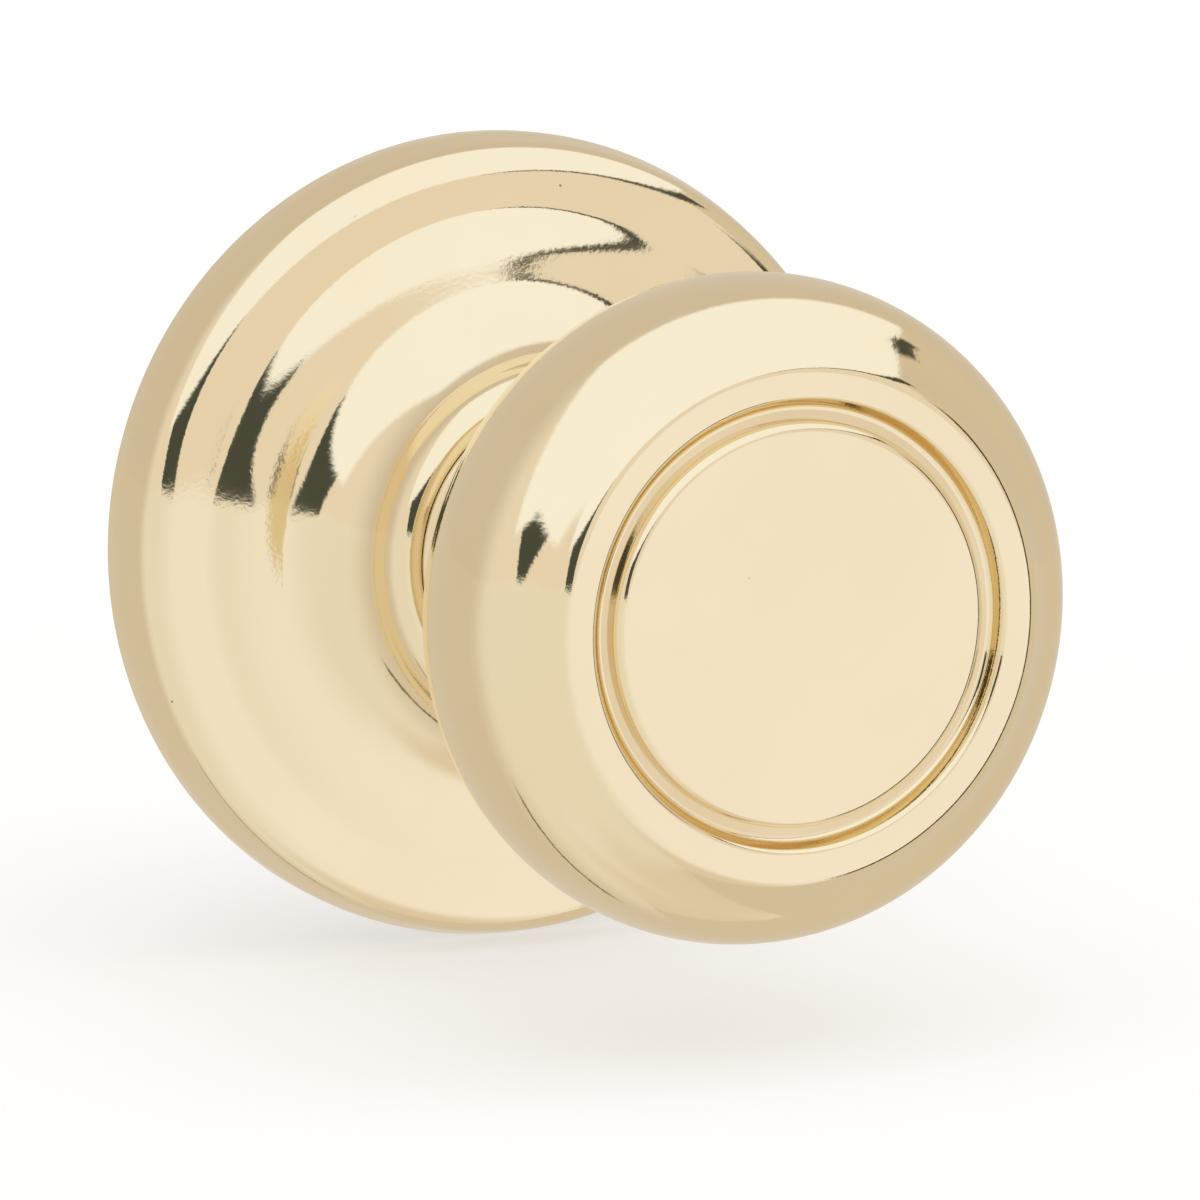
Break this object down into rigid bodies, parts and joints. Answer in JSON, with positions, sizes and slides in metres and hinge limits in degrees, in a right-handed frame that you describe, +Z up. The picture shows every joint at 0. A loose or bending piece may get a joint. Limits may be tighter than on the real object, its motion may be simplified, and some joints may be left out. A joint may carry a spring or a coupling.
{
  "type": "door knob",
  "caption": "Outside half of a passage door knob set: round brass knob with a flat face disc in a ring groove, on a stepped round rose, with a sprung spindle.",
  "frame": {"origin": "on the turning axis, in the plane of the door's face, midway between the two mounting posts", "axes": "+Y into the door along the turning axis, -Y towards the knob's face, +Z up, +X to the right seen from inside the door"},
  "size_m": [0.0666, 0.104, 0.0666],
  "materials": {
    "polished_brass": "polished and lacquered",
    "zinc_plated_steel": "bright zinc plating, satin",
    "spring_steel": "oiled spring steel",
    "cast_zinc": "as-cast zinc alloy",
    "black_plastic": "moulded, matt",
    "nylon": "natural nylon"
  },
  "bodies": {
    "chassis": {"rose": "polished_brass", "rose_insert": "black_plastic", "mounting_plate": "zinc_plated_steel", "plate_hub": "zinc_plated_steel", "thrust_washer": "nylon", "spring_housing": "zinc_plated_steel", "rear_bush": "zinc_plated_steel", "rear_washer": "zinc_plated_steel", "post_left": "zinc_plated_steel", "post_right": "zinc_plated_steel", "return_spring": "spring_steel"},
    "knob": {"knob_shell": "polished_brass", "knob_back": "polished_brass", "face_disc": "polished_brass", "face_ring": "polished_brass", "knob_core": "cast_zinc", "stake_washer": "zinc_plated_steel", "spindle_sleeve": "zinc_plated_steel", "torque_blade": "zinc_plated_steel", "blade_pin": "spring_steel", "retaining_clip": "spring_steel", "spring_driver": "cast_zinc"}
  },
  "joints": [
    {"name": "knob_turn", "type": "hinge", "parent": "chassis", "child": "knob", "pos_m": [0, 0, 0], "axis": [0, 1, 0], "range_deg": [-60, 60], "stiffness_Nm_per_rad": 0.2, "deforming": ["return_spring"]}
  ]
}
